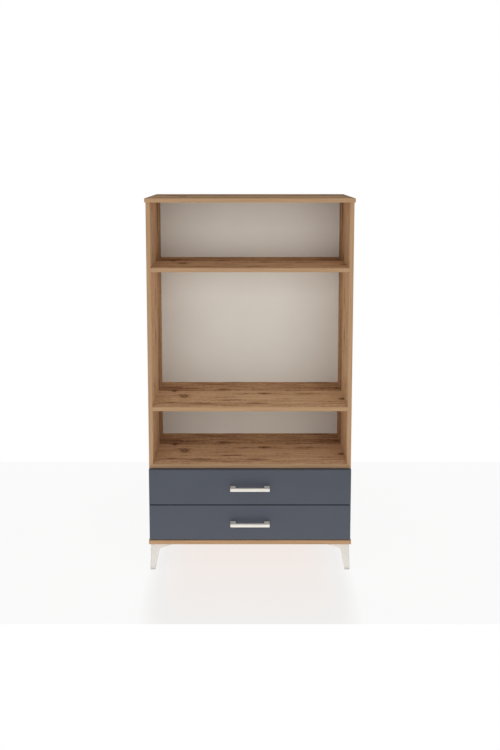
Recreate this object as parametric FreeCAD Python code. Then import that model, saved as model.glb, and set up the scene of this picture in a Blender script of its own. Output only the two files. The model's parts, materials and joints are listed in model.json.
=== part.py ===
import FreeCAD, Part
import os
from FreeCAD import Placement, Rotation, Vector

# Bookcase with two bottom drawers, in millimetres.
# +X runs to the right, +Y to the back, +Z up. The origin is on the floor,
# in the middle of the footprint from the handles to the rear edge.

# Carcass boards
board_width = 900.0
board_depth = 400.0
board_thickness = 18.0
side_inset = 2.5
edge_bevel = 0.8
top_bay_height = 284.0
middle_bay_height = 600.0
lower_bay_height = 242.0

# Back panel, held in grooves
back_thickness = 3.0
back_setback = 16.0
groove_depth = 8.0
groove_play = 0.2

# Corner legs: two walls that meet at the outer corner, under a screw plate
leg_height = 120.0
leg_inset = 4.0
leg_splay = 4.0
leg_wall = 4.0
leg_foot_width = 23.0
leg_knee_width = 43.0
leg_knee_drop = 23.0
leg_knee_radius = 10.0
leg_wing_reach = 106.0
leg_plate = 3.0
leg_plate_nose = 30.0
leg_corner_radius = 5.0
leg_screw_edge = 12.0
leg_screw_row = 20.0
leg_screw_corner = 38.0

# Drawer fronts
drawer_names = ("drawer_lower", "drawer_upper")
front_height = 159.0
front_thickness = 18.0
front_gap = 4.0
front_side_inset = 1.0
front_standoff = 1.0
front_bevel = 1.5

# Drawer boxes
box_length = 340.0
box_height = 110.0
box_wall = 16.0
box_lift = 12.0
box_bottom_thickness = 3.0
box_bottom_lift = 10.0
box_groove_depth = 6.0
box_screw_shares = (0.32, 0.78)
box_dowel_share = 0.28
box_cam_share = 0.52

# Bar handles
handle_length = 173.0
handle_projection = 30.0
handle_height = 13.0
handle_bar_depth = 10.0
handle_post_width = 23.0
handle_hole_spacing = 160.0
handle_hole_depth = 12.0
handle_outer_radius = 1.6
handle_inner_radius = 1.6
handle_edge_bevel = 0.8

# Roller runners
runner_space = 12.5
runner_sheet = 1.2
runner_front_gap = 2.0
cabinet_rail_extra = 5.0
cabinet_rail_floor = 11.0
cabinet_rail_lip = 8.0
cabinet_rail_headroom = 1.0
drawer_rail_rise = 17.0
drawer_rail_foot = 14.0
drawer_rail_lip = 6.0
drawer_rail_lip_inset = 3.5
roller_radius = 10.0
roller_width = 4.8
roller_inset = 5.2
roller_end_gap = 14.0
roller_play = 0.3
roller_side_play = 0.1
axle_radius = 2.5
axle_play = 0.05
rail_screw_shares = (0.12, 0.62)
drawer_rail_screw_shares = (0.15, 0.72)
drawer_rail_screw_inset = 6.0

# Cam fittings and dowels
cam_diameter = 15.0
cam_depth = 13.0
cam_reach = 34.0
cam_sides = 8
bolt_bore = 8.0
bolt_shank = 6.0
bolt_head = 7.0
bolt_head_length = 3.0
bolt_thread_depth = 11.0
dowel_diameter = 8.0
dowel_length = 30.0
dowel_in_face = 11.0
dowel_end_play = 0.5
fit_play = 0.05
cam_row_shares = (0.14, 0.86)
dowel_row_share = 0.5
bottom_screw_shares = (0.32, 0.68)

# Screws: shank diameter, length, head diameter, head height
leg_screw = {"diameter": 3.5, "length": 15.0, "head": 7.0, "height": 2.2}
rail_screw = {"diameter": 3.5, "length": 12.0, "head": 6.4, "height": 1.8}
box_screw = {"diameter": 4.0, "length": 40.0, "head": 8.0, "height": 3.0}
board_screw = {"diameter": 5.0, "length": 48.0, "head": 9.0, "height": 4.0}
handle_screw = {"diameter": 4.0, "length": 28.0, "head": 8.0, "height": 2.4}
screw_tip_share = 0.8
screw_hole_play = 0.3
fastener_sides = 6
full_turn = 360.0
overrun = 2.0
match_tolerance = 0.001

# Places worked out from the sizes
right = Vector(1, 0, 0)
rear = Vector(0, 1, 0)
up = Vector(0, 0, 1)
carcass_width = board_width - 2 * side_inset
half_carcass = carcass_width / 2
half_bay = half_carcass - board_thickness
panel_middle = half_bay + board_thickness / 2
y_front = (handle_projection - board_depth) / 2
y_rear = y_front + board_depth
y_carcass = y_front + front_thickness + front_standoff
y_back_panel = y_rear - back_setback - back_thickness
shelf_depth = y_back_panel - y_carcass
drawer_bay_height = len(drawer_names) * (front_height + front_gap)
z_floor_board = leg_height + board_thickness
z_deck = z_floor_board + drawer_bay_height
z_shelf_lower = z_deck + board_thickness + lower_bay_height
z_shelf_upper = z_shelf_lower + board_thickness + middle_bay_height
z_top = z_shelf_upper + board_thickness + top_bay_height
half_box = half_bay - runner_space
cabinet_rail_length = box_length + cabinet_rail_extra
roller_axis_rise = drawer_rail_rise - runner_sheet - roller_play - roller_radius
cabinet_rail_base = roller_axis_rise - roller_radius - roller_play

pieces = {}
cutters = {}


def add(node, solid):
    pieces.setdefault(node, []).append(solid)


def drill(node, cutter):
    cutters.setdefault(node, []).append(cutter)


# Basic shapes
def block(x_low, x_high, y_low, y_high, z_low, z_high):
    corner = Vector(x_low, y_low, z_low)
    return Part.makeBox(x_high - x_low, y_high - y_low, z_high - z_low, corner)


def prism(points, travel):
    wire = Part.makePolygon(points + points[:1])
    return Part.Face(wire).extrude(travel)


def without_repeats(ring):
    return [point for n, point in enumerate(ring) if not point.isEqual(ring[n - 1], match_tolerance)]


# A small turned part with a few flat sides: the profile starts and ends on the axis
def faceted(profile, start, direction, sides=fastener_sides):
    spokes = [Rotation(up, full_turn * step / sides).multVec(right) for step in range(sides + 1)]
    faces = []
    for (radius, along), (next_radius, next_along) in zip(profile, profile[1:]):
        for spoke, next_spoke in zip(spokes, spokes[1:]):
            ring = [spoke * radius + up * along, next_spoke * radius + up * along]
            ring += [next_spoke * next_radius + up * next_along, spoke * next_radius + up * next_along]
            corners = without_repeats(ring)
            faces.append(Part.Face(Part.makePolygon(corners + corners[:1])))
    solid = Part.Solid(Part.Shell(faces)).removeSplitter()
    if solid.Volume < 0:
        solid.reverse()
    solid.Placement = Placement(start, Rotation(up, direction))
    return solid


def bar(radius, start, direction, length, sides=fastener_sides):
    return faceted([(0, 0), (radius, 0), (radius, length), (0, length)], start, direction, sides)


def mirrored(shape, normal):
    return shape.mirror(Vector(), normal)


def edges_at(shape, **place):
    def lies(edge):
        box = edge.BoundBox
        spans = {"x": (box.XMin, box.XMax), "y": (box.YMin, box.YMax), "z": (box.ZMin, box.ZMax)}
        return all(abs(end - value) < match_tolerance for axis, value in place.items() for end in spans[axis])
    return [edge for edge in shape.Edges if lies(edge)]


# Screws, seated at a point and driven along a direction
def screw_tip(size):
    return size["length"] - size["diameter"] * screw_tip_share


def pan_screw(size, seat, direction):
    shank = size["diameter"] / 2
    head = size["head"] / 2
    profile = [(0, -size["height"]), (head, -size["height"]), (head, 0), (shank, 0)]
    profile += [(shank, screw_tip(size)), (0, size["length"])]
    return faceted(profile, seat, direction)


def pan_hole(size, seat, direction, reach):
    radius = size["diameter"] / 2 + fit_play
    profile = [(0, -overrun), (radius, -overrun), (radius, reach), (0, reach)]
    return faceted(profile, seat, direction)


def flush_screw(size, seat, direction):
    shank = size["diameter"] / 2
    profile = [(0, 0), (size["head"] / 2, 0), (shank, size["height"])]
    profile += [(shank, screw_tip(size)), (0, size["length"])]
    return faceted(profile, seat, direction)


def flush_hole(size, seat, direction):
    shank = size["diameter"] / 2 + fit_play
    head = size["head"] / 2 + fit_play
    reach = size["length"] + screw_hole_play
    profile = [(0, -overrun), (head, -overrun), (head, 0)]
    profile += [(shank, size["height"]), (shank, reach), (0, reach)]
    return faceted(profile, seat, direction)


# Cam fittings, drawn with the bolt along +X and the cam's mouth facing down
def cam_lock(thickness):
    mouth = -thickness / 2
    body = bar(cam_diameter / 2, Vector(-cam_reach, 0, mouth), up, cam_depth, cam_sides)
    half = bolt_bore / 2
    x_high = cam_diameter - cam_reach
    z_high = mouth + cam_depth + overrun
    return body.cut(block(-cam_reach - half, x_high, -half, half, -half, z_high))


def cam_bolt():
    start = -cam_reach - bolt_head_length / 2
    end = bolt_thread_depth - start
    head = bolt_head / 2
    shank = bolt_shank / 2
    profile = [(0, 0), (head, 0), (head, bolt_head_length), (shank, bolt_head_length), (shank, end), (0, end)]
    return faceted(profile, Vector(start, 0, 0), right)


def cam_holes(thickness):
    mouth = Vector(-cam_reach, 0, -thickness / 2 - overrun)
    pocket = bar(cam_diameter / 2 + fit_play, mouth, up, cam_depth + fit_play + overrun, cam_sides)
    bore = bar(bolt_bore / 2, Vector(-cam_reach, 0, 0), right, cam_reach + overrun)
    reach = bolt_thread_depth + fit_play + overrun
    thread = bar(bolt_shank / 2 + fit_play, Vector(-overrun, 0, 0), right, reach)
    return pocket, bore, thread


def dowel(length, radius):
    start = dowel_in_face - dowel_length
    stretch = (length - dowel_length) / 2
    return bar(radius, Vector(start - stretch, 0, 0), right, length)


def seated(shape, seat):
    shape.Placement = seat.multiply(shape.Placement)
    return shape


def seat_at(origin, along, top):
    return Placement(origin, Rotation(along, top.cross(along), top, "XZY"))


def cam_joint(end_board, face_board, prefix, seat, thickness):
    pocket, bore, thread = cam_holes(thickness)
    drill(end_board, seated(pocket, seat))
    drill(end_board, seated(bore, seat))
    drill(face_board, seated(thread, seat))
    add(prefix + "cam_locks", seated(cam_lock(thickness), seat))
    add(prefix + "cam_bolts", seated(cam_bolt(), seat))


def dowel_joint(end_board, face_board, prefix, seat):
    hole_length = dowel_length + 2 * dowel_end_play
    for board in (end_board, face_board):
        drill(board, seated(dowel(hole_length, dowel_diameter / 2 + fit_play), seat))
    add(prefix + "dowels", seated(dowel(dowel_length, dowel_diameter / 2), seat))


# Carcass boards
def soft_board(low, high, soft_edges):
    board = block(low.x, high.x, low.y, high.y, low.z, high.z)
    edges = [edge for place in soft_edges for edge in edges_at(board, **place)]
    return board.makeChamfer(edge_bevel, edges)


def cover_board(z_low):
    half = board_width / 2
    low = Vector(-half, y_front, z_low)
    high = Vector(half, y_rear, z_low + board_thickness)
    places = [{"y": y_front, "z": z} for z in (low.z, high.z)]
    places += [{"x": x, "z": z} for x in (-half, half) for z in (low.z, high.z)]
    places += [{"x": x, "y": y_front} for x in (-half, half)]
    return soft_board(low, high, places)


def shelf_board(z_low):
    low = Vector(-half_bay, y_carcass, z_low)
    high = Vector(half_bay, y_back_panel, z_low + board_thickness)
    return soft_board(low, high, [{"y": y_carcass, "z": z} for z in (low.z, high.z)])


def side_panel(side):
    ends = sorted((side * half_bay, side * half_carcass))
    low = Vector(ends[0], y_carcass, z_floor_board)
    high = Vector(ends[1], y_rear, z_top)
    return soft_board(low, high, [{"y": y_carcass, "x": x} for x in ends])


def back_groove(inset, z_low, z_high):
    half = half_bay + inset
    y_high = y_back_panel + back_thickness + groove_play
    return block(-half, half, y_back_panel - groove_play, y_high, z_low, z_high)


def add_back_panel():
    inset = groove_depth - groove_play
    low = z_floor_board - inset
    high = z_top + inset
    half = half_bay + inset
    add("back_panel", block(-half, half, y_back_panel, y_back_panel + back_thickness, low, high))
    for name in ("side_panel_left", "side_panel_right"):
        drill(name, back_groove(groove_depth, z_floor_board - overrun, z_top + overrun))
    drill("bottom_board", back_groove(groove_depth, z_floor_board - groove_depth, z_floor_board + overrun))
    drill("top_board", back_groove(groove_depth, z_top - overrun, z_top + groove_depth))


def row(share):
    return y_carcass + share * shelf_depth


def join_shelf(board, z_low):
    z_middle = z_low + board_thickness / 2
    for side, panel in ((-1, "side_panel_left"), (1, "side_panel_right")):
        def seat(share):
            return seat_at(Vector(side * half_bay, row(share), z_middle), right * side, up)
        for share in cam_row_shares:
            cam_joint(board, panel, "", seat(share), board_thickness)
        dowel_joint(board, panel, "", seat(dowel_row_share))


def join_top_and_bottom():
    for side, panel in ((-1, "side_panel_left"), (1, "side_panel_right")):
        def seat(share, z, along):
            return seat_at(Vector(side * panel_middle, row(share), z), along, right * side)
        for share in cam_row_shares:
            cam_joint(panel, "top_board", "", seat(share, z_top, up), board_thickness)
        dowel_joint(panel, "top_board", "", seat(dowel_row_share, z_top, up))
        dowel_joint(panel, "bottom_board", "", seat(dowel_row_share, z_floor_board, -up))
        for share in bottom_screw_shares:
            head = Vector(side * panel_middle, row(share), leg_height)
            add("bottom_screws", flush_screw(board_screw, head, up))
            for board in ("bottom_board", panel):
                drill(board, flush_hole(board_screw, head, up))


def add_carcass():
    add("top_board", cover_board(z_top))
    add("bottom_board", cover_board(leg_height))
    add("side_panel_left", side_panel(-1))
    add("side_panel_right", side_panel(1))
    shelves = {"deck_board": z_deck, "shelf_lower": z_shelf_lower, "shelf_upper": z_shelf_upper}
    for name, z_low in shelves.items():
        add(name, shelf_board(z_low))
        join_shelf(name, z_low)
    join_top_and_bottom()
    add_back_panel()


# Corner legs, drawn with the outer corner at the origin and the wings along +X and +Y
def leg_face(across, depth_way):
    knee_height = leg_height - leg_knee_drop
    tip = leg_wing_reach
    outline = [(0, 0), (leg_foot_width, 0), (leg_knee_width, knee_height)]
    outline += [(tip, leg_height - leg_plate), (tip, leg_height), (leg_splay, leg_height)]
    solid = prism([across * u + up * z for u, z in outline], depth_way * leg_wing_reach)
    knee = {"x": leg_knee_width, "z": knee_height} if across.x else {"y": leg_knee_width, "z": knee_height}
    return solid.makeFillet(leg_knee_radius, edges_at(solid, **knee))


def leg_hollow(across, depth_way):
    under_plate = leg_height - leg_plate
    lean = leg_splay * under_plate / leg_height
    far = leg_wing_reach + overrun
    outline = [(leg_wall, -overrun), (leg_wall, 0), (leg_wall + lean, under_plate)]
    outline += [(far, under_plate), (far, -overrun)]
    return prism([across * u + up * z for u, z in outline], depth_way * far)


def leg_plate_cut():
    far = leg_wing_reach + overrun
    nose = leg_plate_nose
    reach = leg_wing_reach
    corners = [(reach, nose), (far, nose), (far, far), (nose, far), (nose, reach)]
    base = up * (leg_height - leg_plate - overrun)
    return prism([Vector(x, y, 0) + base for x, y in corners], up * (leg_plate + 2 * overrun))


def leg_screw_places():
    tip = leg_wing_reach - leg_screw_edge
    return [(tip, leg_screw_row), (leg_screw_row, tip), (leg_screw_corner, leg_screw_corner)]


def leg_body():
    outer = leg_face(right, rear).common(leg_face(rear, right))
    hollow = leg_hollow(right, rear).common(leg_hollow(rear, right))
    body = outer.cut([hollow, leg_plate_cut()])
    corner = [edge for edge in body.Edges if is_leg_corner(edge)]
    body = body.makeFillet(leg_corner_radius, corner)
    seats = [Vector(x, y, leg_height - leg_plate) for x, y in leg_screw_places()]
    return body.cut([pan_hole(leg_screw, seat, up, leg_screw["length"]) for seat in seats])


def is_leg_corner(edge):
    ends = [vertex.Point for vertex in edge.Vertexes]
    on_diagonal = all(abs(point.x - point.y) < match_tolerance for point in ends)
    return on_diagonal and min(point.x for point in ends) < match_tolerance


def add_leg(name, side, end):
    origin = Vector(side * (board_width / 2 - leg_inset), y_front + leg_inset, 0)
    if end < 0:
        origin.y = y_rear - leg_inset

    def put(shape):
        shape = mirrored(shape, right) if side > 0 else shape
        shape = mirrored(shape, rear) if end < 0 else shape
        return shape.translated(origin)
    add(name, put(leg_body()))
    for x, y in leg_screw_places():
        seat = Vector(x, y, leg_height - leg_plate)
        add("leg_screws", put(pan_screw(leg_screw, seat, up)))
        drill("bottom_board", put(pan_hole(leg_screw, seat, up, leg_screw["length"] + screw_hole_play)))


def add_legs():
    add_leg("leg_front_left", -1, 1)
    add_leg("leg_front_right", 1, 1)
    add_leg("leg_rear_left", -1, -1)
    add_leg("leg_rear_right", 1, -1)


# Roller runners, drawn on the left side: u is measured from the side panel's inner face
def runner_point(u, z, y, z_box):
    return Vector(u - half_bay, y, z_box + z)


def both_sides(shape):
    return {"left": shape, "right": mirrored(shape, right)}


def rail(outline, y_low, length, z_box):
    return prism([runner_point(u, z, y_low, z_box) for u, z in outline], rear * length)


def drawer_rail_outline():
    inner = runner_space - runner_sheet
    rise = drawer_rail_rise
    lip = drawer_rail_lip_inset
    foot = runner_space + drawer_rail_foot
    outline = [(inner, -runner_sheet), (foot, -runner_sheet), (foot, 0), (runner_space, 0)]
    outline += [(runner_space, rise), (lip, rise)]
    outline += [(lip, rise - drawer_rail_lip), (lip + runner_sheet, rise - drawer_rail_lip)]
    return outline + [(lip + runner_sheet, rise - runner_sheet), (inner, rise - runner_sheet)]


def cabinet_rail_outline():
    base = cabinet_rail_base
    head = drawer_rail_rise + cabinet_rail_headroom
    under = base - runner_sheet
    outline = [(0, under), (cabinet_rail_floor, under), (cabinet_rail_floor, base)]
    outline += [(runner_sheet, base), (runner_sheet, head), (cabinet_rail_lip, head)]
    return outline + [(cabinet_rail_lip, head + runner_sheet), (0, head + runner_sheet)]


def roller(y, z_box):
    start = runner_point(roller_inset, roller_axis_rise, y, z_box)
    outer = Part.makeCylinder(roller_radius, roller_width, start, right)
    bore_length = roller_width + 2 * overrun
    bore = Part.makeCylinder(axle_radius + axle_play, bore_length, start - right * overrun, right)
    return outer.cut(bore)


def axle(wall, way, y, z_box):
    near = roller_inset - roller_side_play if way > 0 else roller_inset + roller_width + roller_side_play
    length = abs(near - wall) + roller_width + 2 * roller_side_play
    return Part.makeCylinder(axle_radius, length, runner_point(wall, roller_axis_rise, y, z_box), right * way)


def add_cabinet_rails(drawer, z_box):
    level = drawer.replace("drawer_", "")
    y_low = y_carcass + runner_front_gap
    y_roller = y_low + roller_end_gap
    rails = both_sides(rail(cabinet_rail_outline(), y_low, cabinet_rail_length, z_box))
    for share in rail_screw_shares:
        seat = runner_point(runner_sheet, roller_axis_rise, y_low + share * cabinet_rail_length, z_box)
        holes = both_sides(pan_hole(rail_screw, seat, -right, rail_screw["length"] + screw_hole_play))
        for side, screw in both_sides(pan_screw(rail_screw, seat, -right)).items():
            add("cabinet_rail_screws", screw)
            drill("cabinet_rail_" + level + "_" + side, holes[side])
            drill("side_panel_" + side, holes[side])
    for side, solid in rails.items():
        add("cabinet_rail_" + level + "_" + side, solid)
    for solid in both_sides(axle(runner_sheet, 1, y_roller, z_box)).values():
        add("cabinet_axles", solid)
    for solid in both_sides(roller(y_roller, z_box)).values():
        add("front_rollers_" + level, solid)


def add_drawer_rails(drawer, z_box):
    level = drawer.replace("drawer_", "")
    y_low = y_front + front_thickness + runner_front_gap
    length = box_length - runner_front_gap
    y_roller = y_low + length - roller_end_gap
    for side, solid in both_sides(rail(drawer_rail_outline(), y_low, length, z_box)).items():
        add(drawer + "_rail_" + side, solid)
    for share in drawer_rail_screw_shares:
        u_screw = runner_space + drawer_rail_screw_inset
        seat = runner_point(u_screw, -runner_sheet, y_low + share * length, z_box)
        holes = both_sides(pan_hole(rail_screw, seat, up, rail_screw["length"] + screw_hole_play))
        for side, screw in both_sides(pan_screw(rail_screw, seat, up)).items():
            add(drawer + "_rail_screws", screw)
            drill(drawer + "_rail_" + side, holes[side])
            drill(drawer + "_side_" + side, holes[side])
    for solid in both_sides(axle(runner_space - runner_sheet, -1, y_roller, z_box)).values():
        add(drawer + "_axles", solid)
    for solid in both_sides(roller(y_roller, z_box)).values():
        add("rear_rollers_" + level, solid)


# Drawer front and handle
def drawer_front(z_low):
    half = half_carcass - front_side_inset
    board = block(-half, half, y_front, y_front + front_thickness, z_low, z_low + front_height)
    return board.makeChamfer(front_bevel, edges_at(board, y=y_front))


def bar_handle(z_middle):
    half = handle_length / 2
    grip = half - handle_post_width
    y_bar = y_front - handle_projection
    y_inner = y_bar + handle_bar_depth
    corners = [(-half, y_front), (-half, y_bar), (half, y_bar), (half, y_front)]
    corners += [(grip, y_front), (grip, y_inner), (-grip, y_inner), (-grip, y_front)]
    z_low = z_middle - handle_height / 2
    z_high = z_low + handle_height
    body = prism([Vector(x, y, z_low) for x, y in corners], up * handle_height)
    outer = [edge for x in (-half, half) for edge in edges_at(body, x=x, y=y_bar)]
    body = body.makeFillet(handle_outer_radius, outer)
    inner = [edge for x in (-grip, grip) for edge in edges_at(body, x=x, y=y_inner)]
    body = body.makeFillet(handle_inner_radius, inner)
    rims = [edge for z in (z_low, z_high) for edge in edges_at(body, z=z) if is_outer_rim(edge, half, y_bar)]
    return body.makeChamfer(handle_edge_bevel, rims)


def is_outer_rim(edge, half, y_bar):
    box = edge.BoundBox
    at_end = half - max(abs(box.XMin), abs(box.XMax)) < match_tolerance
    at_front = box.YMin - y_bar < match_tolerance
    return box.YMin < y_front - match_tolerance and (at_end or at_front)


def add_handle(drawer, z_middle):
    add(drawer + "_handle", bar_handle(z_middle))
    for side in (-1, 1):
        seat = Vector(side * handle_hole_spacing / 2, y_front + front_thickness, z_middle)
        add(drawer + "_handle_screws", pan_screw(handle_screw, seat, -rear))
        drill(drawer + "_front", pan_hole(handle_screw, seat, -rear, front_thickness + overrun))
        drill(drawer + "_handle", pan_hole(handle_screw, seat, -rear, front_thickness + handle_hole_depth))


# Drawer box
def bottom_groove(half_x, y_low, y_high, z_box):
    z_low = z_box + box_bottom_lift - groove_play
    z_high = z_low + box_bottom_thickness + 2 * groove_play
    return block(-half_x, half_x, y_low, y_high, z_low, z_high)


def add_box_bottom(drawer, z_box, y_low, y_high):
    inner = half_box - box_wall
    inset = box_groove_depth - groove_play
    z_low = z_box + box_bottom_lift
    z_high = z_low + box_bottom_thickness
    half = inner + inset
    add(drawer + "_bottom", block(-half, half, y_low - inset, y_high + inset, z_low, z_high))
    slot = bottom_groove(inner + box_groove_depth, y_low - box_groove_depth, y_high + box_groove_depth, z_box)
    for piece in ("_front", "_side_left", "_side_right", "_back"):
        drill(drawer + piece, slot)


def join_box_front(drawer, side, z_box, y_low):
    x_middle = side * (half_box - box_wall / 2)
    end_board = drawer + ("_side_left" if side < 0 else "_side_right")

    def seat(share):
        origin = Vector(x_middle, y_low, z_box + share * box_height)
        return seat_at(origin, -rear, right * side)
    cam_joint(end_board, drawer + "_front", drawer + "_", seat(box_cam_share), box_wall)
    dowel_joint(end_board, drawer + "_front", drawer + "_", seat(box_dowel_share))


def join_box_back(drawer, side, z_box, y_high):
    panel = drawer + ("_side_left" if side < 0 else "_side_right")
    for share in box_screw_shares:
        seat = Vector(side * half_box, y_high + box_wall / 2, z_box + share * box_height)
        add(drawer + "_box_screws", flush_screw(box_screw, seat, -right * side))
        for piece in (panel, drawer + "_back"):
            drill(piece, flush_hole(box_screw, seat, -right * side))


def add_box(drawer, z_box):
    y_low = y_front + front_thickness
    y_end = y_low + box_length
    y_inner = y_end - box_wall
    z_high = z_box + box_height
    inner = half_box - box_wall
    add(drawer + "_side_left", block(-half_box, -inner, y_low, y_end, z_box, z_high))
    add(drawer + "_side_right", block(inner, half_box, y_low, y_end, z_box, z_high))
    add(drawer + "_back", block(-inner, inner, y_inner, y_end, z_box, z_high))
    add_box_bottom(drawer, z_box, y_low, y_inner)
    for side in (-1, 1):
        join_box_front(drawer, side, z_box, y_low)
        join_box_back(drawer, side, z_box, y_inner)


def add_drawers():
    z_low = z_floor_board + front_gap
    for drawer in drawer_names:
        z_box = z_low + box_lift
        add(drawer + "_front", drawer_front(z_low))
        add_handle(drawer, z_low + front_height / 2)
        add_box(drawer, z_box)
        add_drawer_rails(drawer, z_box)
        add_cabinet_rails(drawer, z_box)
        z_low += front_height + front_gap


def export_all():
    os.makedirs("parts", exist_ok=True)
    for node, solids in pieces.items():
        if node in cutters:
            solids = [solid.cut(cutters[node]) for solid in solids]
        solids = [single for shape in solids for single in shape.Solids]
        shape = solids[0] if len(solids) == 1 else Part.makeCompound(solids)
        shape.exportStep(os.path.join("parts", node + ".step"))


add_carcass()
add_legs()
add_drawers()
export_all()
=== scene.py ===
import json
import math

import bmesh
import bpy
from mathutils import Matrix, Vector

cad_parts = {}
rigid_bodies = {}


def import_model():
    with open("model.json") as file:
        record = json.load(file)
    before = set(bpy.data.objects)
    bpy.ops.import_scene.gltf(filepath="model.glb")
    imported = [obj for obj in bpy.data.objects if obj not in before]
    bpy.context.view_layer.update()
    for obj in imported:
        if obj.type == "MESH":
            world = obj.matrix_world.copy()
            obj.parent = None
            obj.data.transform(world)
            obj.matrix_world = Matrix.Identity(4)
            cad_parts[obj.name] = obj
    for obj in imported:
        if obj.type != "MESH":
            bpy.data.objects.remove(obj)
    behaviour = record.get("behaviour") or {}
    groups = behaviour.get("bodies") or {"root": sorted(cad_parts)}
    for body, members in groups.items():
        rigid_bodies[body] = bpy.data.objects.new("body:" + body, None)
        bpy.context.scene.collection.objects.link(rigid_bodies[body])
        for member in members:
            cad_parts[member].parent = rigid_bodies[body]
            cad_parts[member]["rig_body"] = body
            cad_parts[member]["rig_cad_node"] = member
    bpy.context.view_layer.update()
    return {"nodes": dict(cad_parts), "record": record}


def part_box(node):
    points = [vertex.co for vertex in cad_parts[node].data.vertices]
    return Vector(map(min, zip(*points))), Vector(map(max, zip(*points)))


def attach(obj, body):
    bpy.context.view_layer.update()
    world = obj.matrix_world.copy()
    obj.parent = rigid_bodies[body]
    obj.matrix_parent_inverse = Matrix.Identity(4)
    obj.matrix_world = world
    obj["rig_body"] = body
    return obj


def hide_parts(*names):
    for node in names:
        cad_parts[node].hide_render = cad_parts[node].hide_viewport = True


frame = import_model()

nodes = frame["nodes"]
record = frame["record"]
bodyOf = {node: body for body, members in record["behaviour"]["bodies"].items() for node in members}
slotOf = {part["node"]: part["material_slot"] for part in record["subparts"]}
drawers = ("drawer_lower", "drawer_upper")
print("frame loaded:", len(nodes), "nodes")


def fromSrgb(red, green, blue):
    def channel(value):
        value = value / 255
        return value / 12.92 if value <= 0.04045 else ((value + 0.055) / 1.055) ** 2.4
    return (channel(red), channel(green), channel(blue), 1.0)


def grey(level):
    return (level, level, level, 1.0)


# node tree helpers: a plain number or tuple is set on the socket, anything else is linked
def feed(tree, socket, value):
    if isinstance(value, (int, float, tuple)):
        socket.default_value = value
    else:
        tree.links.new(value, socket)


def addNode(tree, kind, values=None, **settings):
    node = tree.nodes.new(kind)
    for key, value in settings.items():
        setattr(node, key, value)
    for key, value in (values or {}).items():
        feed(tree, node.inputs[key], value)
    return node


def newFinish(name):
    material = bpy.data.materials.new(name)
    material.use_nodes = True
    tree = material.node_tree
    return material, tree, tree.nodes["Principled BSDF"]


def objectCoords(tree):
    return addNode(tree, "ShaderNodeTexCoord").outputs["Object"]


def calc(tree, operation, *values):
    node = addNode(tree, "ShaderNodeMath", operation=operation)
    for socket, value in zip(node.inputs, values):
        feed(tree, socket, value)
    return node.outputs[0]


def axesOf(tree, vector):
    return addNode(tree, "ShaderNodeSeparateXYZ", {"Vector": vector}).outputs


def lengthOf(tree, vector):
    return addNode(tree, "ShaderNodeVectorMath", {0: vector}, operation="LENGTH").outputs["Value"]


def placed(tree, vector, scale=(1, 1, 1), turn=(0, 0, 0), offset=(0, 0, 0)):
    values = {"Vector": vector, "Location": offset, "Rotation": turn, "Scale": scale}
    return addNode(tree, "ShaderNodeMapping", values).outputs["Vector"]


def noise(tree, vector, scale=1.0, detail=4.0, roughness=0.55, distortion=0.0):
    values = {"Vector": vector, "Scale": scale, "Detail": detail, "Roughness": roughness,
              "Distortion": distortion}
    return addNode(tree, "ShaderNodeTexNoise", values).outputs["Fac"]


def spread(tree, value, low, high, start=0.0, end=1.0):
    values = {"Value": value, "From Min": low, "From Max": high, "To Min": start, "To Max": end}
    return addNode(tree, "ShaderNodeMapRange", values).outputs["Result"]


noiseSpan = (0.3, 0.7)  # nearly all of a noise lies between these


def evened(tree, value, start=0.0, end=1.0):
    return spread(tree, value, *noiseSpan, start, end)


def ramp(tree, value, stops, interpolation="LINEAR"):
    node = addNode(tree, "ShaderNodeValToRGB", {"Fac": value})
    node.color_ramp.interpolation = interpolation
    elements = node.color_ramp.elements
    while len(elements) < len(stops):
        elements.new(1.0)
    for element, (place, colour) in zip(elements, stops):
        element.position = place
        element.color = colour
    return node.outputs["Color"]


def mixColour(tree, amount, first, second, blend="MIX"):
    node = addNode(tree, "ShaderNodeMix", data_type="RGBA", blend_type=blend)
    for index, value in ((0, amount), (6, first), (7, second)):
        feed(tree, node.inputs[index], value)
    return node.outputs[2]


def bumpInto(tree, shader, height, strength, distance):
    values = {"Height": height, "Strength": strength, "Distance": distance}
    node = addNode(tree, "ShaderNodeBump", values)
    tree.links.new(node.outputs["Normal"], shader.inputs["Normal"])


def facing(tree, normal, closeness):
    return calc(tree, "GREATER_THAN", normal, closeness)


# rays for which floor and surroundings show as plain white
def seenRays(tree):
    rays = addNode(tree, "ShaderNodeLightPath").outputs
    seen = calc(tree, "MAXIMUM", rays["Is Camera Ray"], rays["Is Glossy Ray"])
    return calc(tree, "MAXIMUM", seen, rays["Is Transmission Ray"])


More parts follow.
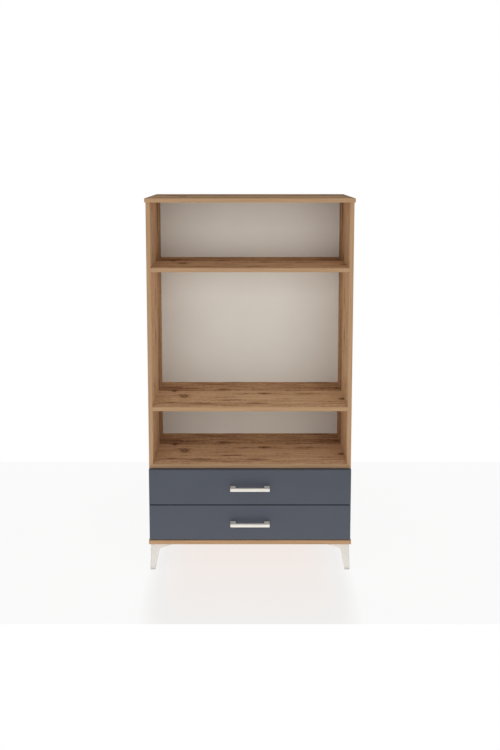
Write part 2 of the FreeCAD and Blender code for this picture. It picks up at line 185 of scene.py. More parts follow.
# printed oak decor: u runs along the grain, v across it
oakLook = {
    "pale": fromSrgb(217, 185, 148),
    "middle": fromSrgb(199, 164, 127),
    "brown": fromSrgb(166, 130, 98),
    "deep": fromSrgb(121, 87, 64),
    "knot": fromSrgb(82, 54, 38),
    "edge": fromSrgb(180, 147, 114),
    "edgeDeep": fromSrgb(167, 134, 102),
    "yellowed": (1.03, 1.045, 1.005, 1.0),
    "rosy": (1.03, 0.995, 1.10, 1.0),
    "tonePlaces": (0.0, 0.28, 0.56, 0.95),  # deep, brown, middle, pale
    "staveShares": ((0.0, 0.58), (0.11, 0.58), (0.115, 0.53), (0.18, 0.53), (0.185, 0.62), (0.25, 0.65),
                    (0.42, 0.63), (0.425, 0.66), (0.60, 0.69), (0.61, 0.38), (0.76, 0.36),
                    (0.765, 0.45), (0.80, 0.44), (0.805, 0.37), (0.93, 0.35), (0.935, 0.48), (1.0, 0.48)),
    "staveStart": -0.185,
    "staveSpan": 0.40,
    "waver": 0.007,
    "bandLines": (5, 180),  # along and across
    "bandSpan": (0.35, 0.68),
    "roughness": (0.60, 0.72),
    "gloss": 0.0,
    "bump": (0.12, 0.0004),
    "squareOn": 0.85,  # how closely a normal follows its axis on a face
}
# noise layers of the grain: stretch along and across it
# gain is how far a layer shifts the tone, span the part of it that is used
grainLayers = {
    "drift": {"stretch": (2.0, 9.0, 0.0), "detail": 2.0},
    "broad": {"stretch": (1.8, 18.0, 0.0), "detail": 3.0, "distortion": 0.6, "gain": 0.36},
    "fibre": {"stretch": (4.0, 70.0, 0.0), "detail": 5.0, "roughness": 0.62, "gain": 0.52},
    "hair": {"stretch": (12.0, 420.0, 0.0), "detail": 3.0, "gain": 0.22},
    "mottle": {"stretch": (13.0, 60.0, 0.0), "offset": (5.9, 2.3, 0), "detail": 4.0, "roughness": 0.6,
               "gain": 0.24},
    "fleck": {"stretch": (55.0, 110.0, 0.0), "offset": (0.7, 6.1, 0), "detail": 3.0, "gain": 0.32},
    "tint": {"stretch": (8.0, 44.0, 0.0), "offset": (1.3, 8.8, 0), "detail": 4.0, "roughness": 0.6,
             "span": (0.36, 0.64)},
    "streak": {"stretch": (5.0, 62.0, 0.0), "offset": (3.1, 1.7, 0), "detail": 4.0, "roughness": 0.62,
               "span": (0.56, 0.76)},
    "cluster": {"stretch": (2.6, 11.0, 0.0), "offset": (7.7, 4.2, 0), "detail": 2.0, "span": (0.46, 0.64)},
    "ragged": {"stretch": (22.0, 110.0, 0.0), "detail": 5.0, "roughness": 0.65},
}
toneLayers = ("broad", "fibre", "hair", "mottle", "fleck")
markLook = {
    "repeat": 0.95,
    "sideFrom": -0.20,  # the side panels keep only the marks past this u
    "ragged": 1.7,
    "shrink": 0.85,
    "core": (1.05, 0.30),
    "halo": (2.6, 0.8),
    "haloShade": -0.22,
    "ringsFrom": 0.85,  # marks at least this strong are knots with rings
    "ringPitch": 0.6,
    "darkHeart": ((0.0, 1.0), (0.18, 0.85), (0.32, 0.50), (0.46, 0.90), (0.60, 0.30), (0.80, 0.0)),
    "paleHeart": ((0.0, 0.30), (0.14, 0.42), (0.28, 1.0), (0.42, 0.80), (0.54, 0.30), (0.64, 0.50),
                  (0.80, 0.0)),
    "bendFrom": 0.64,  # stronger ones push the grain aside
    "bend": 0.75,
    "bendReach": (3.4, 0.5),
    "hairSpan": (0.35, 0.62),
    "hairFade": 0.62,
    "streakShare": 0.45,
}
# knots and spindle streaks: u, v, half length, half width, strength
oakMarks = (
    (-0.357, 0.058, 0.011, 0.012, 0.95),
    (-0.303, -0.016, 0.019, 0.021, 1.00),
    (-0.326, 0.008, 0.016, 0.006, 0.60),
    (-0.359, -0.106, 0.024, 0.008, 0.60),
    (-0.358, 0.112, 0.032, 0.010, 0.50),
    (-0.265, 0.092, 0.055, 0.012, 0.30),
    (-0.135, 0.079, 0.017, 0.010, 0.65),
    (0.010, 0.022, 0.050, 0.006, 0.70),
    (0.065, 0.022, 0.028, 0.010, 0.95),
    (-0.084, -0.071, 0.060, 0.007, 0.75),
    (0.023, -0.116, 0.065, 0.011, 0.60),
    (-0.221, -0.118, 0.075, 0.008, 0.45),
    (-0.053, -0.137, 0.125, 0.006, 0.40),
    (0.167, -0.055, 0.026, 0.009, 0.40),
    (0.422, -0.052, 0.016, 0.011, 0.95),
    (0.237, 0.019, 0.020, 0.011, 0.40),
    (0.281, 0.025, 0.026, 0.009, 0.45),
    (-0.066, 0.184, 0.045, 0.009, 0.40),
)


def grainNoise(tree, space, name):
    layer = grainLayers[name]
    place = placed(tree, space, layer["stretch"], offset=layer.get("offset", (0, 0, 0)))
    extras = {key: layer[key] for key in ("detail", "roughness", "distortion") if key in layer}
    return noise(tree, place, **extras)


def grainShare(tree, space, name, top=1.0):
    return spread(tree, grainNoise(tree, space, name), *grainLayers[name]["span"], 0.0, top)


# grain coordinates, and the same for the marks, which repeat and flip along a long board
def grainSpace(tree, coords, upright):
    turn = (0, math.pi / 2, 0) if upright else (0, 0, 0)
    axes = axesOf(tree, placed(tree, coords, turn=turn))
    half = markLook["repeat"] / 2
    count = calc(tree, "FLOOR", calc(tree, "MULTIPLY_ADD", axes["X"], 1 / markLook["repeat"], 0.5))
    flip = calc(tree, "MULTIPLY_ADD", calc(tree, "PINGPONG", count, 1.0), -2.0, 1.0)
    wrapped = calc(tree, "WRAP", axes["X"], half, -half)
    flipped = calc(tree, "MULTIPLY", axes["Y"], flip)
    markSpace = addNode(tree, "ShaderNodeCombineXYZ", {"X": wrapped, "Y": flipped}).outputs["Vector"]
    return axes["X"], axes["Y"], markSpace, flip


# each mark: a dark core, a halo round it, and grain lines that swell past it
def grainMarks(tree, markSpace, upright):
    ragged = grainNoise(tree, markSpace, "ragged")
    core = halo = swell = 0.0
    for u, v, halfLength, halfWidth, strength in oakMarks:
        if upright and u < markLook["sideFrom"]:
            continue
        scale = (1 / halfLength, 1 / halfWidth, 0.0)
        local = placed(tree, markSpace, scale, offset=(-u / halfLength, -v / halfWidth, 0.0))
        away = lengthOf(tree, local)
        shrunk = calc(tree, "SUBTRACT", away, markLook["shrink"])
        reach = calc(tree, "MULTIPLY_ADD", ragged, markLook["ragged"], shrunk)
        core = calc(tree, "MAXIMUM", core, markCore(tree, reach, strength))
        halo = calc(tree, "MAXIMUM", halo, spread(tree, reach, *markLook["halo"], 0.0, strength))
        if strength > markLook["bendFrom"]:
            near = spread(tree, away, *markLook["bendReach"], 0.0, markLook["bend"] * halfWidth)
            swell = calc(tree, "MULTIPLY_ADD", axesOf(tree, local)["Y"], near, swell)
    return core, halo, swell


def markCore(tree, reach, strength):
    if strength < markLook["ringsFrom"]:
        return spread(tree, reach, *markLook["core"], 0.0, strength)
    levels = markLook["paleHeart" if strength >= 1 else "darkHeart"]
    rings = [(place, grey(level * strength)) for place, level in levels]
    return ramp(tree, calc(tree, "MULTIPLY", reach, markLook["ringPitch"]), rings)


def grainTone(tree, space, across):
    drift = calc(tree, "SUBTRACT", grainNoise(tree, space, "drift"), 0.5)
    waved = calc(tree, "MULTIPLY_ADD", drift, oakLook["waver"], across)
    share = spread(tree, waved, oakLook["staveStart"], oakLook["staveStart"] + oakLook["staveSpan"])
    tone = ramp(tree, share, [(place, grey(level)) for place, level in oakLook["staveShares"]])
    layers = {name: grainNoise(tree, space, name) for name in toneLayers}
    for name, layer in layers.items():
        tone = calc(tree, "MULTIPLY_ADD", evened(tree, layer, -0.5, 0.5), grainLayers[name]["gain"], tone)
    return tone, layers["fibre"], layers["hair"]


# bare chipboard, seen on the rear edges that have no banding
chipLook = {"pale": fromSrgb(190, 164, 128), "dark": fromSrgb(128, 102, 74), "chips": (260, 260, 420),
            "contrast": 1.6}


def chipboard(tree, coords):
    place = placed(tree, coords, chipLook["chips"])
    chips = addNode(tree, "ShaderNodeTexVoronoi", {"Vector": place, "Scale": 1.0}).outputs["Color"]
    tone = addNode(tree, "ShaderNodeSeparateColor", {"Color": chips}).outputs["Red"]
    share = calc(tree, "POWER", tone, chipLook["contrast"])
    return mixColour(tree, share, chipLook["pale"], chipLook["dark"])


# the printed face: tone, tint, dark streaks in clusters, then the marks
def oakFace(tree, coords, upright):
    along, across, markSpace, flip = grainSpace(tree, coords, upright)
    core, halo, swell = grainMarks(tree, markSpace, upright)
    across = calc(tree, "SUBTRACT", across, calc(tree, "MULTIPLY", swell, flip))
    space = addNode(tree, "ShaderNodeCombineXYZ", {"X": along, "Y": across}).outputs["Vector"]
    tone, fibre, hair = grainTone(tree, space, across)
    tone = calc(tree, "MULTIPLY_ADD", halo, markLook["haloShade"], tone)
    colours = [oakLook[name] for name in ("deep", "brown", "middle", "pale")]
    face = ramp(tree, tone, list(zip(oakLook["tonePlaces"], colours)))
    tint = mixColour(tree, grainShare(tree, space, "tint"), oakLook["yellowed"], oakLook["rosy"])
    face = mixColour(tree, 1.0, face, tint, "MULTIPLY")
    streak = grainShare(tree, space, "streak")
    cluster = grainShare(tree, space, "cluster", markLook["streakShare"])
    faded = spread(tree, hair, *markLook["hairSpan"], 1.0, markLook["hairFade"])
    core = calc(tree, "MULTIPLY", core, faded)
    dark = calc(tree, "MAXIMUM", calc(tree, "MULTIPLY", streak, cluster), core)
    return mixColour(tree, dark, face, oakLook["knot"]), fibre, hair


# edge banding: plainer and paler than the faces
def oakBand(tree, coords, upright):
    along, across = oakLook["bandLines"]
    lines = (across, across, along) if upright else (along, across, across)
    share = spread(tree, noise(tree, placed(tree, coords, lines)), *oakLook["bandSpan"])
    return mixColour(tree, share, oakLook["edge"], oakLook["edgeDeep"])


def oakDecor(name, upright, faceAxis):
    material, tree, shader = newFinish(name)
    coords = addNode(tree, "ShaderNodeTexCoord").outputs
    place = coords["Object"]
    normal = axesOf(tree, coords["Normal"])
    face, fibre, hair = oakFace(tree, place, upright)
    onFace = facing(tree, calc(tree, "ABSOLUTE", normal[faceAxis]), oakLook["squareOn"])
    onRear = facing(tree, normal["Y"], oakLook["squareOn"])
    colour = mixColour(tree, onFace, oakBand(tree, place, upright), face)
    colour = mixColour(tree, onRear, colour, chipboard(tree, place))
    tree.links.new(colour, shader.inputs["Base Color"])
    tree.links.new(evened(tree, fibre, *oakLook["roughness"]), shader.inputs["Roughness"])
    shader.inputs["Specular IOR Level"].default_value = oakLook["gloss"]
    bumpInto(tree, shader, calc(tree, "ADD", hair, fibre), *oakLook["bump"])
    return material


frontLook = {"colour": fromSrgb(76, 80, 89), "worn": fromSrgb(81, 85, 94), "wornShare": 0.35,
             "cloud": 6.0, "cloudSpan": (0.3, 0.75), "peel": 700.0, "roughness": (0.40, 0.50),
             "gloss": 0.14, "bump": (0.05, 0.0002)}


def anthraciteLacquer():
    material, tree, shader = newFinish("anthraciteLacquer")
    coords = objectCoords(tree)
    cloud = noise(tree, coords, frontLook["cloud"], detail=3.0)
    peel = noise(tree, coords, frontLook["peel"], detail=2.0)
    share = spread(tree, cloud, *frontLook["cloudSpan"], 0.0, frontLook["wornShare"])
    colour = mixColour(tree, share, frontLook["colour"], frontLook["worn"])
    tree.links.new(colour, shader.inputs["Base Color"])
    tree.links.new(evened(tree, cloud, *frontLook["roughness"]), shader.inputs["Roughness"])
    shader.inputs["Specular IOR Level"].default_value = frontLook["gloss"]
    bumpInto(tree, shader, peel, *frontLook["bump"])
    return material


# thin hardboard, white on one side and bare brown fibre on the other
hardboardLook = {"white": fromSrgb(232, 231, 224), "shade": fromSrgb(227, 225, 218),
                 "bare": fromSrgb(166, 131, 96), "fibre": fromSrgb(146, 112, 80), "cloud": 3.0,
                 "weave": 420.0, "fibres": 240.0, "fibreSpan": (0.35, 0.7), "bareFrom": -0.5,
                 "roughness": (0.50, 0.66), "gloss": 0.2, "bump": (0.06, 0.0002)}


def hardboard(name, axis, bareSide):
    look = hardboardLook
    material, tree, shader = newFinish(name)
    coords = addNode(tree, "ShaderNodeTexCoord").outputs
    place = coords["Object"]
    cloud = noise(tree, place, look["cloud"], detail=3.0)
    grit = noise(tree, place, look["weave"], detail=2.0)
    fibres = noise(tree, place, look["fibres"], detail=6.0, roughness=0.7)
    white = mixColour(tree, evened(tree, cloud), look["white"], look["shade"])
    bare = mixColour(tree, spread(tree, fibres, *look["fibreSpan"]), look["bare"], look["fibre"])
    normal = axesOf(tree, coords["Normal"])[axis]
    onBare = facing(tree, calc(tree, "MULTIPLY", normal, bareSide), look["bareFrom"])  # edges too
    tree.links.new(mixColour(tree, onBare, white, bare), shader.inputs["Base Color"])
    tree.links.new(evened(tree, grit, *look["roughness"]), shader.inputs["Roughness"])
    shader.inputs["Specular IOR Level"].default_value = look["gloss"]
    bumpInto(tree, shader, grit, *look["bump"])
    return material


boardLook = {"cloud": 3.0, "roughness": (0.48, 0.62), "gloss": 0.3, "bump": (0.06, 0.0002)}


def lacqueredBoard(name, colour, shade, weave):
    material, tree, shader = newFinish(name)
    coords = objectCoords(tree)
    cloud = noise(tree, coords, boardLook["cloud"], detail=3.0)
    grit = noise(tree, placed(tree, coords, (weave, weave, weave)), detail=2.0)
    tree.links.new(mixColour(tree, evened(tree, cloud), colour, shade), shader.inputs["Base Color"])
    tree.links.new(evened(tree, grit, *boardLook["roughness"]), shader.inputs["Roughness"])
    shader.inputs["Specular IOR Level"].default_value = boardLook["gloss"]
    bumpInto(tree, shader, grit, *boardLook["bump"])
    return material


metalLook = {"cloud": 14.0, "grit": 900.0, "smoother": 0.05, "rougher": 0.06, "bump": (0.04, 0.0001)}


def coatedMetal(name, colour, shade, metallic, roughness):
    material, tree, shader = newFinish(name)
    coords = objectCoords(tree)
    cloud = noise(tree, coords, metalLook["cloud"], detail=3.0)
    grit = noise(tree, coords, metalLook["grit"], detail=2.0)
    satin = evened(tree, grit, roughness - metalLook["smoother"], roughness + metalLook["rougher"])
    tree.links.new(mixColour(tree, evened(tree, cloud), colour, shade), shader.inputs["Base Color"])
    tree.links.new(satin, shader.inputs["Roughness"])
    shader.inputs["Metallic"].default_value = metallic
    bumpInto(tree, shader, grit, *metalLook["bump"])
    return material


finishes = {
    "oakShelf": oakDecor("oakShelf", False, "Z"),
    "oakSide": oakDecor("oakSide", True, "X"),
    "anthracite_front": anthraciteLacquer(),
    "backPanel": hardboard("backHardboard", "Y", 1.0),
    "drawerBottom": hardboard("drawerHardboard", "Z", -1.0),
    "drawer_board": lacqueredBoard("drawerMelamine", fromSrgb(222, 219, 213), fromSrgb(215, 212, 206), 600.0),
    "silver_trim": coatedMetal("satinSilver", fromSrgb(224, 220, 211), fromSrgb(218, 214, 205), 0.06, 0.40),
    # the legs take a darker copy of the handles' silver: painted shade that offsets the floor lamp's light on
    # them
    "legSilverPaintedShade": coatedMetal("legSilverPaintedShade", fromSrgb(207, 203, 196), fromSrgb(202, 198, 191), 0.06, 0.40),
    "runner_steel": coatedMetal("runnerCoat", fromSrgb(228, 226, 218), fromSrgb(222, 220, 212), 0.0, 0.42),
    "nylon": coatedMetal("nylonRoller", fromSrgb(236, 234, 228), fromSrgb(228, 226, 220), 0.0, 0.5),
    "zinc_steel": coatedMetal("zincPlate", fromSrgb(182, 183, 182), fromSrgb(166, 166, 163), 0.9, 0.34),
    "beech": lacqueredBoard("beechDowel", fromSrgb(205, 172, 128), fromSrgb(190, 155, 110), 300.0),
    "decorCap": lacqueredBoard("decorCap", fromSrgb(176, 139, 105), fromSrgb(164, 127, 95), 500.0),
    "greyCap": lacqueredBoard("greyCap", fromSrgb(206, 203, 197), fromSrgb(198, 195, 189), 500.0),
}
for node, obj in nodes.items():
    finish = slotOf[node]
    if finish == "oak_decor":
        finish = "oakSide" if node.startswith("side_panel") else "oakShelf"
    if finish == "white_board":
        finish = "backPanel" if node == "back_panel" else "drawerBottom"
    # legs get the darker silver copy, painted shade
    if finish == "silver_trim" and node.startswith("leg"):
        finish = "legSilverPaintedShade"
    obj.data.materials.clear()
    obj.data.materials.append(finishes[finish])
print("finishes set:", len(finishes))


# modelling helpers
smoothAngle = 32


def onlySelect(obj):
    bpy.ops.object.select_all(action="DESELECT")
    obj.select_set(True)
    bpy.context.view_layer.objects.active = obj


def applyModifier(obj, kind, **settings):
    onlySelect(obj)
    modifier = obj.modifiers.new(kind.lower(), kind)
    for key, value in settings.items():
        setattr(modifier, key, value)
    bpy.ops.object.modifier_apply(modifier=modifier.name)


def roundEdges(obj, width, angle):
    limit = math.radians(angle)
    applyModifier(obj, "BEVEL", width=width, segments=3, limit_method="ANGLE", angle_limit=limit)


def applyPlace():
    bpy.ops.object.transform_apply(location=True, rotation=True, scale=True)


def finishPiece(obj, name, finish, body, replaced=()):
    onlySelect(obj)
    applyPlace()
    bpy.ops.object.shade_smooth_by_angle(angle=math.radians(smoothAngle))
    obj.name = name
    obj.data.name = name
    obj.data.materials.clear()
    obj.data.materials.append(finish)
    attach(obj, body)
    if replaced:
        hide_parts(*replaced)
    return obj


# bar handles: a flat bar whose ends turn back to the front as square posts
handleLook = {"postWidth": 0.023, "barDepth": 0.010, "rounding": 0.0009, "roundedFrom": 40, "squareOn": 0.9}


def barHandle(drawer):
    low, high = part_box(drawer + "_handle")
    size = high - low
    bpy.ops.object.select_all(action="DESELECT")
    barY = low.y + handleLook["barDepth"] / 2
    bpy.ops.mesh.primitive_cube_add(size=1, location=((low.x + high.x) / 2, barY, (low.z + high.z) / 2))
    bar = bpy.context.object
    bar.scale = (size.x, handleLook["barDepth"], size.z)
    applyPlace()
    postEdge = size.x / 2 - handleLook["postWidth"]
    bpy.ops.object.mode_set(mode="EDIT")
    for side in (-1, 1):
        bpy.ops.mesh.select_all(action="SELECT")
        bpy.ops.mesh.bisect(plane_co=(side * postEdge, 0, 0), plane_no=(1, 0, 0))
    bpy.ops.mesh.select_all(action="DESELECT")
    mesh = bmesh.from_edit_mesh(bar.data)
    for face in mesh.faces:
        atEnd = abs(face.calc_center_median().x) > postEdge
        if atEnd and face.normal.y > handleLook["squareOn"]:
            face.select_set(True)
    bmesh.update_edit_mesh(bar.data)
    reach = high.y - low.y - handleLook["barDepth"]
    bpy.ops.mesh.extrude_region_move(TRANSFORM_OT_translate={"value": (0, reach, 0)})
    bpy.ops.object.mode_set(mode="OBJECT")
    roundEdges(bar, handleLook["rounding"], handleLook["roundedFrom"])
    silver = finishes["silver_trim"]
    return finishPiece(bar, drawer + "_barHandle", silver, drawer, [drawer + "_handle"])


for drawer in drawers:
    barHandle(drawer)
print("handles made")


# soft-edged copies of solids that are right in shape but sharp
softLook = {"leg": 0.0010, "roller": 0.0007, "roundedFrom": 35, "weld": 1e-6, "flatWithin": 0.5}


def softCopy(node, rounding):
    onlySelect(nodes[node])
    bpy.ops.object.duplicate()
    copy = bpy.context.object
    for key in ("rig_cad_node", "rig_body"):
        del copy[key]
    bpy.ops.object.mode_set(mode="EDIT")
    bpy.ops.mesh.select_all(action="SELECT")
    bpy.ops.mesh.remove_doubles(threshold=softLook["weld"])
    bpy.ops.mesh.dissolve_limited(angle_limit=math.radians(softLook["flatWithin"]))
    bpy.ops.object.mode_set(mode="OBJECT")
    roundEdges(copy, rounding, softLook["roundedFrom"])
    finish = nodes[node].data.materials[0]
    return finishPiece(copy, node + "_soft", finish, bodyOf[node], [node])


for node in nodes:
    if node.startswith("leg_front") or node.startswith("leg_rear"):
        softCopy(node, softLook["leg"])
for node in nodes:
    if "_rollers_" in node:
        softCopy(node, softLook["roller"])
print("legs and rollers softened")


# the separate solids of a CAD node, each as a list of points
def islands(node):
    mesh = bmesh.new()
    mesh.from_mesh(nodes[node].data)
    bmesh.ops.remove_doubles(mesh, verts=mesh.verts, dist=softLook["weld"])
    mesh.verts.index_update()
    seen = set()
    groups = []
    for start in mesh.verts:
        if start.index in seen:
            continue
        seen.add(start.index)
        queue = [start]
        for vert in queue:
            others = [edge.other_vert(vert) for edge in vert.link_edges]
            fresh = [other for other in others if other.index not in seen]
            seen.update(other.index for other in fresh)
            queue.extend(dict.fromkeys(fresh))
        groups.append([vert.co.copy() for vert in queue])
    mesh.free()
    return groups


def pointBox(points):
    low = Vector([min(point[axis] for point in points) for axis in range(3)])
    high = Vector([max(point[axis] for point in points) for axis in range(3)])
    return low, high


# a finished master is copied to a place with its +Z turned to a direction
def placedCopy(master, place, direction):
    copy = master.copy()
    copy.data = master.data.copy()
    bpy.context.scene.collection.objects.link(copy)
    turn = Vector((0, 0, 1)).rotation_difference(direction).to_matrix().to_4x4()
    copy.data.transform(Matrix.Translation(place) @ turn)
    return copy


def joinCopies(copies):
    bpy.ops.object.select_all(action="DESELECT")
    for copy in copies:
        copy.select_set(True)
    bpy.context.view_layer.objects.active = copies[0]
    bpy.ops.object.join()
    return bpy.context.object


def discard(obj):
    bpy.data.objects.remove(obj, do_unlink=True)


# screws: turned from the rings of the CAD screw, with a cross recess in the head
screwLook = {"sides": 24, "thinnest": 0.0002, "rimShare": 0.16, "roundedFrom": 60,
             "crossReach": 0.62, "crossWidth": 0.17, "crossDepth": 0.0013}


def screwRings(points):
    low, high = pointBox(points)
    size = high - low
    axis = max(range(3), key=lambda n: size[n])
    middle = (low + high) / 2

    def radius(point):
        off = point - middle
        off[axis] = 0
        return max(screwLook["thinnest"], off.length)
    headHigh = max(points, key=radius)[axis] > middle[axis]
    end = high[axis] if headHigh else low[axis]
    head = middle.copy()
    head[axis] = end
    direction = Vector([0, 0, 0])
    direction[axis] = -1 if headHigh else 1
    rings = {(round(abs(point[axis] - end), 5), round(radius(point), 5)) for point in points}
    return head, direction, tuple(sorted(rings, key=lambda ring: (ring[0], -ring[1])))


def turnedScrew(rings):
    headRadius = rings[0][1]
    bpy.ops.object.select_all(action="DESELECT")
    bpy.ops.mesh.primitive_circle_add(vertices=screwLook["sides"], radius=headRadius, fill_type="NGON")
    screw = bpy.context.object
    bpy.ops.object.mode_set(mode="EDIT")
    bpy.ops.mesh.select_all(action="SELECT")
    for (place, width), (nextPlace, nextWidth) in zip(rings, rings[1:]):
        bpy.ops.mesh.extrude_region_move(TRANSFORM_OT_translate={"value": (0, 0, nextPlace - place)})
        bpy.ops.transform.resize(value=(nextWidth / width, nextWidth / width, 1))
    bpy.ops.mesh.select_all(action="SELECT")
    bpy.ops.mesh.normals_make_consistent(inside=False)
    bpy.ops.object.mode_set(mode="OBJECT")
    roundEdges(screw, headRadius * screwLook["rimShare"], screwLook["roundedFrom"])
    cutCross(screw, headRadius)
    return screw


def cutCross(screw, headRadius):
    bpy.ops.object.select_all(action="DESELECT")
    bpy.ops.mesh.primitive_cube_add(size=2 * headRadius * screwLook["crossReach"])
    cross = bpy.context.object
    narrow = screwLook["crossWidth"] / screwLook["crossReach"]
    deep = screwLook["crossDepth"] / (headRadius * screwLook["crossReach"])
    bpy.ops.object.mode_set(mode="EDIT")
    bpy.ops.mesh.select_all(action="SELECT")
    bpy.ops.transform.resize(value=(1, narrow, deep))
    bpy.ops.mesh.duplicate()
    bpy.ops.transform.rotate(value=math.pi / 2, orient_axis="Z", center_override=(0, 0, 0))
    bpy.ops.object.mode_set(mode="OBJECT")
    applyModifier(screw, "BOOLEAN", operation="DIFFERENCE", solver="EXACT", use_self=True, object=cross)
    discard(cross)


def screwNode(node, masters):
    copies = []
    for points in islands(node):
        head, direction, rings = screwRings(points)
        if rings not in masters:
            masters[rings] = turnedScrew(rings)
        copies.append(placedCopy(masters[rings], head, direction))
    screws = joinCopies(copies)
    finishPiece(screws, node + "_turned", finishes["zinc_steel"], bodyOf[node], [node])


screwMasters = {}
for node in nodes:
    if node.endswith("_screws"):
        screwNode(node, screwMasters)
for master in screwMasters.values():
    discard(master)
print("screws turned:", len(screwMasters), "kinds")


# discs with a rounded rim: cover caps over the cams, rivet heads on the axles
capLook = {"radius": 0.0088, "thickness": 0.0009, "rounding": 0.0005, "sides": 36, "roundedFrom": 60}
rivetLook = {"radius": 0.0040, "thickness": 0.0007, "rounding": 0.0005, "sides": 36, "roundedFrom": 60}


def roundedDisc(look):
    bpy.ops.object.select_all(action="DESELECT")
    bpy.ops.mesh.primitive_cylinder_add(vertices=look["sides"], radius=look["radius"],
                                        depth=look["thickness"], location=(0, 0, look["thickness"] / 2))
    disc = bpy.context.object
    applyPlace()
    roundEdges(disc, look["rounding"], look["roundedFrom"])
    return disc


# the open end of a cam's bore: on a box or side panel it faces inwards, on a board down
def camMouth(points, halfBay, boxed):
    low, high = pointBox(points)
    mouth = (low + high) / 2
    if boxed or abs(mouth.x) > halfBay:
        inward = -1 if mouth.x > 0 else 1
        mouth.x = low.x if mouth.x > 0 else high.x
        return mouth, Vector((inward, 0, 0))
    mouth.z = low.z
    return mouth, Vector((0, 0, -1))


def coverCaps(node, finish):
    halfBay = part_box("shelf_lower")[1].x
    master = roundedDisc(capLook)
    places = [camMouth(points, halfBay, node.startswith("drawer")) for points in islands(node)]
    caps = joinCopies([placedCopy(master, place, direction) for place, direction in places])
    discard(master)
    finishPiece(caps, node.replace("locks", "caps"), finish, bodyOf[node])


def rivetHeads(node):
    master = roundedDisc(rivetLook)
    copies = []
    for points in islands(node):
        low, high = pointBox(points)
        end = (low + high) / 2
        outward = 1 if (end.x > 0) == node.startswith("drawer") else -1
        end.x = high.x if outward > 0 else low.x
        copies.append(placedCopy(master, end, Vector((outward, 0, 0))))
    discard(master)
    finishPiece(joinCopies(copies), node + "_heads", finishes["zinc_steel"], bodyOf[node])


coverCaps("cam_locks", finishes["decorCap"])
rivetHeads("cabinet_axles")
for drawer in drawers:
    coverCaps(drawer + "_cam_locks", finishes["greyCap"])
    rivetHeads(drawer + "_axles")
print("caps and rivet heads set")


# floor: a pale sheet that ends where the photograph's does
# its colours run outwards from the middle, by metres of depth: painted shade and warm bounce under and in
# front of the object, fading to near white further out
floorLook = {"front": -0.559, "rear": 0.964, "halfWidth": 3.0, "drop": 0.0005, "roughness": 0.7,
             "glow": 0.90, "squeeze": (2.03, 1.0, 1.0), "squareness": (9.4, 4.0),
             "paintedShade": ((0.12, fromSrgb(247, 239, 235)), (0.35, fromSrgb(246, 241, 238)),
                        (0.60, fromSrgb(245, 244, 243)), (0.85, fromSrgb(254, 254, 254)))}


# distance from the middle, by rounded squares and not circles
def squareReach(tree, place):
    axes = axesOf(tree, place)
    acrossPower, deepPower = floorLook["squareness"]
    across = calc(tree, "POWER", calc(tree, "ABSOLUTE", axes["X"]), acrossPower)
    deep = calc(tree, "POWER", calc(tree, "ABSOLUTE", axes["Y"]), deepPower)
    return calc(tree, "POWER", calc(tree, "ADD", across, deep), 1 / deepPower)


def makeFloor():
    bpy.ops.object.select_all(action="DESELECT")
    depth = floorLook["rear"] - floorLook["front"]
    middle = (0, floorLook["front"] + depth / 2, -floorLook["drop"])
    bpy.ops.mesh.primitive_plane_add(size=1, location=middle)
    floor = bpy.context.object
    floor.scale = (floorLook["halfWidth"] * 2, depth, 1)
    applyPlace()
    floor.name = "floor"
    material, tree, shader = newFinish("paleFloor")
    # the floor colour is painted shade under the object, by distance from its middle; the glow shows it to
    # the eye
    away = squareReach(tree, placed(tree, objectCoords(tree), floorLook["squeeze"]))
    colour = ramp(tree, away, floorLook["paintedShade"])
    tree.links.new(colour, shader.inputs["Base Color"])
    shader.inputs["Roughness"].default_value = floorLook["roughness"]
    glow = addNode(tree, "ShaderNodeEmission", {"Color": colour, "Strength": 1.0})
    share = calc(tree, "MULTIPLY", seenRays(tree), floorLook["glow"])
    mix = addNode(tree, "ShaderNodeMixShader", {"Fac": share})
    tree.links.new(shader.outputs["BSDF"], mix.inputs[1])
    tree.links.new(glow.outputs["Emission"], mix.inputs[2])
    tree.links.new(mix.outputs["Shader"], tree.nodes["Material Output"].inputs["Surface"])
    floor.data.materials.append(material)


makeFloor()


# white surroundings for the eye and mirrors; as a lamp, light from the front and low behind
# steps by height of the direction: from -1 straight down to 1 straight up
worldLook = {
    "front": ((-1.0, 0.97), (-0.3, 0.90), (0.0, 0.25), (0.25, 0.33), (0.6, 0.76)),
    "rear": ((-1.0, 0.70), (0.3, 0.15)),
}


def skySteps(tree, height, steps):
    stops = [((place + 1) / 2, grey(level)) for place, level in steps]
    return ramp(tree, calc(tree, "MULTIPLY_ADD", height, 0.5, 0.5), stops, "CONSTANT")


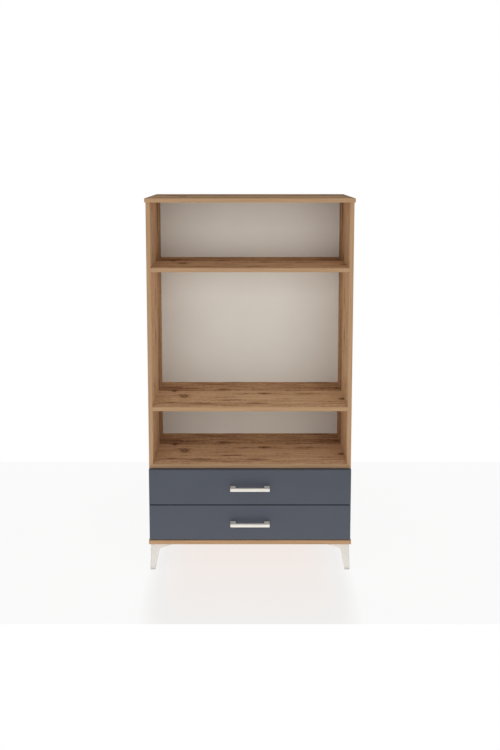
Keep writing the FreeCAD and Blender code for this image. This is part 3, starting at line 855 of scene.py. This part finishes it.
def makeWorld():
    world = bpy.data.worlds.new("studio")
    bpy.context.scene.world = world
    world.use_nodes = True
    tree = world.node_tree
    way = axesOf(tree, addNode(tree, "ShaderNodeTexCoord").outputs["Generated"])
    behind = calc(tree, "GREATER_THAN", way["Y"], 0.0)
    front = skySteps(tree, way["Z"], worldLook["front"])
    lamp = mixColour(tree, behind, front, skySteps(tree, way["Z"], worldLook["rear"]))
    colour = mixColour(tree, seenRays(tree), lamp, grey(1.0))
    tree.links.new(colour, tree.nodes["Background"].inputs["Color"])


makeWorld()


# softboxes: name, place, aim, size, power
softboxes = (
    ("floorBox", (0.0, -0.465, 0.001), (0.0, -0.465, 1.0), (5.0, 0.55), 7.5),
    ("middleBox", (0.0, -3.4, 1.20), (0.0, 0.0, 0.80), (6.0, 1.0), 20.0),
    ("highBox", (0.0, -3.4, 2.30), (0.0, 0.0, 0.70), (6.0, 1.2), 33.0),
    ("rearBox", (0.0, 3.6, 0.90), (0.0, 0.0, 0.90), (5.0, 1.6), 70.0),
)


def makeSoftbox(name, place, aim, size, power):
    lamp = bpy.data.lights.new(name, "AREA")
    lamp.shape = "RECTANGLE"
    lamp.size, lamp.size_y = size
    lamp.energy = power
    obj = bpy.data.objects.new(name, lamp)
    bpy.context.scene.collection.objects.link(obj)
    obj.location = place
    obj.rotation_euler = (Vector(aim) - Vector(place)).to_track_quat("-Z", "Y").to_euler()
    obj.visible_camera = False


for softbox in softboxes:
    makeSoftbox(*softbox)


# camera: eye level above the top board, with a small lens shift
cameraLook = {"lens": 34.086, "shift": -0.192, "place": (0.0, -3.200, 1.8137), "pitchUp": -5.514}


def makeCamera():
    data = bpy.data.cameras.new("camera")
    data.lens = cameraLook["lens"]
    data.shift_y = cameraLook["shift"]
    obj = bpy.data.objects.new("camera", data)
    bpy.context.scene.collection.objects.link(obj)
    obj.location = cameraLook["place"]
    obj.rotation_euler = (math.radians(90 + cameraLook["pitchUp"]), 0, 0)
    bpy.context.scene.camera = obj


makeCamera()
bpy.context.scene.view_settings.view_transform = "Standard"
print("stage, lamps and camera set")
